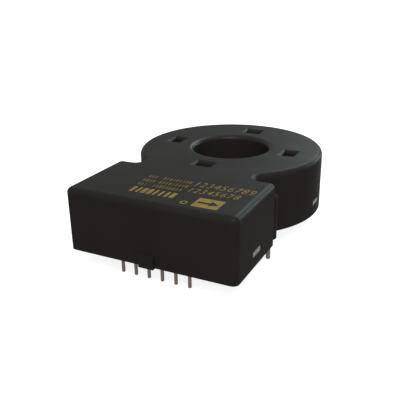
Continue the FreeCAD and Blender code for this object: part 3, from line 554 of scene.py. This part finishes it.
class SENSOR_OT_core(bpy.types.Operator):
    """Finishes the wound core, its shield, its leads and the silicone that holds it"""

    bl_idname = "sensor.core"
    bl_label = "Wound core"

    def execute(self, context):
        metals = context.scene.sensor_metals
        sheet = rolled_sheet("Shield sheet", metals.shield_tint, 0.25)
        dress(sheet, "shield_lower", "shield_upper")
        ribbon = rolled_sheet("Core ribbon", (0.4, 0.4, 0.42), 0.35)
        dress(ribbon, "sensor_core")
        wire = enamelled_wire("Enamelled wire", metals.copper_tint, metals.turns)
        dress(wire, "feedback_winding", "excitation_winding", "winding_leads")
        nylon = moulded_plastic("Natural nylon", (0.72, 0.7, 0.62), 0.4, 0.2 * MM, 0.5)
        dress(nylon, "core_case_lower", "core_case_upper")
        silicone = moulded_plastic("Black silicone", (0.006, 0.006, 0.0065), 0.35, 0.6 * MM, 0.1)
        dress(silicone, "bonding_plugs")
        return {"FINISHED"}


class SENSOR_OT_board(bpy.types.Operator):
    """Finishes the circuit board and its parts, and solders the signal pins"""

    bl_idname = "sensor.board"
    bl_label = "Circuit board"

    def execute(self, context):
        varnish = solder_mask("Green solder mask", (0.012, 0.085, 0.03), (0.03, 0.15, 0.05))
        dress(varnish, "circuit_board")
        epoxy = moulded_plastic("Package epoxy", (0.02, 0.02, 0.021), 0.45, 0.1 * MM, 0.3)
        dress(epoxy, "control_ic", "amplifier_ic", "voltage_regulator", "burden_resistor",
              "chip_resistors")
        orange = moulded_plastic("Tantalum epoxy", (0.55, 0.3, 0.05), 0.4, 0.15 * MM, 0.4)
        dress(orange, "tantalum_capacitor")
        ceramic = moulded_plastic("Chip ceramic", (0.35, 0.26, 0.18), 0.5, 0.1 * MM, 0.4)
        dress(ceramic, "chip_capacitors")
        solder = drawn_metal("Solder", (0.6, 0.6, 0.6), 0.15, 1)
        board_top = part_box("circuit_board")[1].z
        pins = [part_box(f"signal_pin_{number}") for number in range(1, 7)]
        points = [((low.x + high.x) / 2, (low.y + high.y) / 2, board_top) for low, high in pins]
        mesh = grown_mesh("pin_solder", solder_tree(), {
            "Foot radius": 0.85 * MM, "Top radius": 0.36 * MM, "Rise": 0.6 * MM,
            "Material": solder,
        }, points)
        add_piece("pin_solder", mesh, solder)
        return {"FINISHED"}


class SENSOR_OT_roof_print(bpy.types.Operator):
    """Prints plain numbers, rows of bars and an arrow on the roof"""

    bl_idname = "sensor.roof_print"
    bl_label = "Roof print"

    # Text, place of its corner, length and height, in mm.
    NUMBERS = [
        ("123456789", 3.75, -23.4, 10.4, 2.0),
        ("12345678", 3.95, -26.1, 8.7, 1.8),
    ]
    # Pitch, height, least and greatest width of the bars, in mm.
    SMALL_BARS = (0.62, 1.1, 0.14, 0.4)
    LARGE_BARS = (1.05, 2.1, 0.4, 0.85)
    # Place of the first bar, in mm, how many there are, and their kind.
    ROWS = [
        (-5.3, -22.2, 3, SMALL_BARS),
        (-2.4, -22.2, 9, SMALL_BARS),
        (-5.3, -24.1, 4, SMALL_BARS),
        (-2.2, -24.1, 9, SMALL_BARS),
        (-5.2, -25.95, 3, SMALL_BARS),
        (-2.4, -25.95, 9, SMALL_BARS),
        (-4.7, -28.5, 8, LARGE_BARS),
    ]

    def execute(self, context):
        settings = context.scene.sensor_print
        low, high = ROOF - settings.ink_sink, ROOF + settings.ink_height
        ink = printed_ink("Gold ink", settings.ink_tint)
        thin_tint = [channel * settings.thin_share for channel in settings.ink_tint]
        thin_ink = printed_ink("Thin gold ink", thin_tint)
        tree = bar_row_tree()
        for index, (x, y, count, bars) in enumerate(self.ROWS):
            coat = ink if bars is self.LARGE_BARS else thin_ink
            pitch, height, narrow, wide = (size * MM for size in bars)
            name = f"print_row_{index + 1}"
            mesh = grown_mesh(name, tree, {
                "Corner": (x * MM, y * MM, (low + high) / 2), "Pitch": pitch, "Count": count,
                "Bar height": height, "Narrow": narrow, "Wide": wide, "Ink": high - low,
                "Seed": settings.seed + index, "Material": coat,
            })
            add_piece(name, mesh, coat)
        for index, (text, *sizes) in enumerate(self.NUMBERS):
            x, y, length, height = (size * MM for size in sizes)
            name = f"print_numbers_{index + 1}"
            mesh = number_mesh(name, text, (x, y), length, height, low, high)
            add_piece(name, mesh, ink)
        self.print_arrow(ink, low, high)
        return {"FINISHED"}

    def print_arrow(self, ink, low, high):
        """Prints a block whose gap has the shape of an arrow, and a ring beside it."""
        left, right, foot, top = 7.0 * MM, 11.4 * MM, -31.1 * MM, -27.6 * MM
        middle = (foot + top) / 2
        shaft, head, neck, gap = 0.3 * MM, 0.95 * MM, 1.5 * MM, 0.4 * MM
        tail, tip = left + gap, right - gap
        neck_foot = tip - neck
        upper = [(left, middle), (tail, middle), (tail, middle + shaft),
                 (neck_foot, middle + shaft), (neck_foot, middle + head), (tip, middle),
                 (right, middle), (right, top), (left, top)]
        lower = [(x, 2 * middle - y) for x, y in upper]
        ring, outer, inner, steps = (5.5 * MM, -30.3 * MM), 0.62 * MM, 0.36 * MM, 20
        halves = [arc(ring, outer, start, start + 180, steps)
                  + arc(ring, inner, start + 180, start, steps) for start in (90, 270)]
        mesh = flat_sign("current_sign", [upper, lower, *halves], low, high)
        add_piece("current_sign", mesh, ink)


class SENSOR_OT_stage(bpy.types.Operator):
    """Sets up the floor, the soft lamps, the plain sky and the camera"""

    bl_idname = "sensor.stage"
    bl_label = "Stage"

    FLOOR_REACH = 4.0
    FLOOR_GLOW = 0.85
    FRAME_WIDTH = 36
    NEAREST, FARTHEST = 0.005, 20
    LAMP_TARGET = (0, -8 * MM, 6 * MM)
    # Name, place and sides in metres, power in watts, colour.
    LAMPS = [
        ("Back lamp", (0.024, 0.458, 0.297), (0.32, 0.33), 2.7, (0.8, 1.0, 0.97)),
        ("Side lamp", (0.247, 0.477, 0.083), (0.22, 0.1), 1.45, (0.62, 0.97, 1.0)),
        ("Front lamp", (0.146, -0.286, 0.383), (0.3, 0.3), 2.2, (1.0, 0.99, 0.97)),
    ]

    def execute(self, context):
        studio = context.scene.sensor_studio
        floor_shape = bpy.data.meshes.new("floor")
        corners = [(x * self.FLOOR_REACH, y * self.FLOOR_REACH, PIN_TIPS)
                   for x, y in ((-1, -1), (1, -1), (1, 1), (-1, 1))]
        floor_shape.from_pydata(corners, [], [(0, 1, 2, 3)])
        floor = bpy.data.objects.new("floor", floor_shape)
        context.scene.collection.objects.link(floor)
        paper = Finish("White paper")
        fibre = paper.noise(0.4 * MM, 3.0)
        glow = self.white_where_seen(paper.start) * self.FLOOR_GLOW
        floor_shape.materials.append(paper.done(
            fibre * 0.01 * MM, Base_Color=fibre.mix(colour((0.34,) * 3), colour((0.37,) * 3)),
            Roughness=0.9, Specular_IOR_Level=0.0, Emission_Strength=1.0,
            Emission_Color=glow.mix(colour((0, 0, 0)), colour((1, 1, 1)))))
        self.hang_lamps(context)
        self.set_sky(context, studio.sky)
        self.place_camera(context, studio)
        context.scene.view_settings.view_transform = "Standard"
        return {"FINISHED"}

    def hang_lamps(self, context):
        """Hangs the soft lamps, each turned to the sensor."""
        target = Vector(self.LAMP_TARGET)
        for name, place, side, power, tint in self.LAMPS:
            light = bpy.data.lights.new(name, "AREA")
            light.shape = "RECTANGLE"
            light.size, light.size_y = side
            light.energy = power
            light.color = tint
            lamp = bpy.data.objects.new(name, light)
            lamp.location = place
            way = target - Vector(place)
            lamp.rotation_euler = way.to_track_quat("-Z", "Y").to_euler()
            context.scene.collection.objects.link(lamp)

    def white_where_seen(self, start):
        """1 for rays of the camera, reflections and clear parts, 0 for those that only light."""
        outputs = start.node("ShaderNodeLightPath").socket.node.outputs
        seen = Signal(start.tree, outputs["Is Camera Ray"])
        for name in ("Is Glossy Ray", "Is Transmission Ray"):
            seen = start.math("MAXIMUM", seen, Signal(start.tree, outputs[name]))
        return seen

    def set_sky(self, context, level):
        """Plain grey light for the object, white where the camera or a reflection looks."""
        world = bpy.data.worlds.new("Plain sky")
        context.scene.world = world
        world.use_nodes = True
        world.node_tree.nodes.clear()
        start = Signal(world.node_tree)
        strength = self.white_where_seen(start) * (1 - level) + level
        glow = start.node("ShaderNodeBackground", Color=(1, 1, 1, 1), Strength=strength)
        start.node("ShaderNodeOutputWorld", Surface=glow)

    def place_camera(self, context, studio):
        """Stands the camera at its measured place."""
        azimuth, elevation, roll = studio.azimuth, studio.elevation, studio.roll
        back = Vector((math.sin(azimuth) * math.cos(elevation),
                       -math.cos(azimuth) * math.cos(elevation), math.sin(elevation)))
        level_right = Vector((math.cos(azimuth), math.sin(azimuth), 0))
        level_up = back.cross(level_right)
        right = level_right * math.cos(roll) + level_up * math.sin(roll)
        up = level_up * math.cos(roll) - level_right * math.sin(roll)
        view = bpy.data.cameras.new("Camera")
        view.sensor_width = self.FRAME_WIDTH
        view.lens = studio.lens
        view.clip_start, view.clip_end = self.NEAREST, self.FARTHEST
        camera = bpy.data.objects.new("Camera", view)
        turn = Matrix((right, up, back)).transposed().to_4x4()
        camera.matrix_world = Matrix.Translation(studio.camera_place) @ turn
        context.scene.collection.objects.link(camera)
        context.scene.camera = camera


GROUPS = {
    "sensor_plastics": SensorPlastics,
    "sensor_print": SensorPrint,
    "sensor_metals": SensorMetals,
    "sensor_studio": SensorStudio,
}
OPERATORS = (
    SENSOR_OT_case,
    SENSOR_OT_base_plate,
    SENSOR_OT_pins,
    SENSOR_OT_core,
    SENSOR_OT_board,
    SENSOR_OT_roof_print,
    SENSOR_OT_stage,
)


class SENSOR_PT_looks(bpy.types.Panel):
    """Lists the steps that finish the sensor"""

    bl_idname = "SENSOR_PT_looks"
    bl_label = "Residual current sensor"
    bl_space_type = "VIEW_3D"
    bl_region_type = "UI"
    bl_category = "Sensor"

    def draw(self, context):
        for step in OPERATORS:
            self.layout.operator(step.bl_idname)
        for name, group in GROUPS.items():
            box = self.layout.box()
            box.label(text=group.__doc__)
            for setting in group.__annotations__:
                box.prop(getattr(context.scene, name), setting)


def register():
    for entry in (*GROUPS.values(), *OPERATORS, SENSOR_PT_looks):
        bpy.utils.register_class(entry)
    for name, group in GROUPS.items():
        setattr(bpy.types.Scene, name, PointerProperty(type=group))


def unregister():
    for name in GROUPS:
        delattr(bpy.types.Scene, name)
    for entry in (SENSOR_PT_looks, *reversed(OPERATORS), *reversed(GROUPS.values())):
        bpy.utils.unregister_class(entry)


def main():
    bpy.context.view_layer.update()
    register()
    bpy.ops.sensor.case()
    bpy.ops.sensor.base_plate()
    bpy.ops.sensor.pins()
    bpy.ops.sensor.core()
    bpy.ops.sensor.board()
    bpy.ops.sensor.roof_print()
    bpy.ops.sensor.stage()


if __name__ == "__main__":
    main()
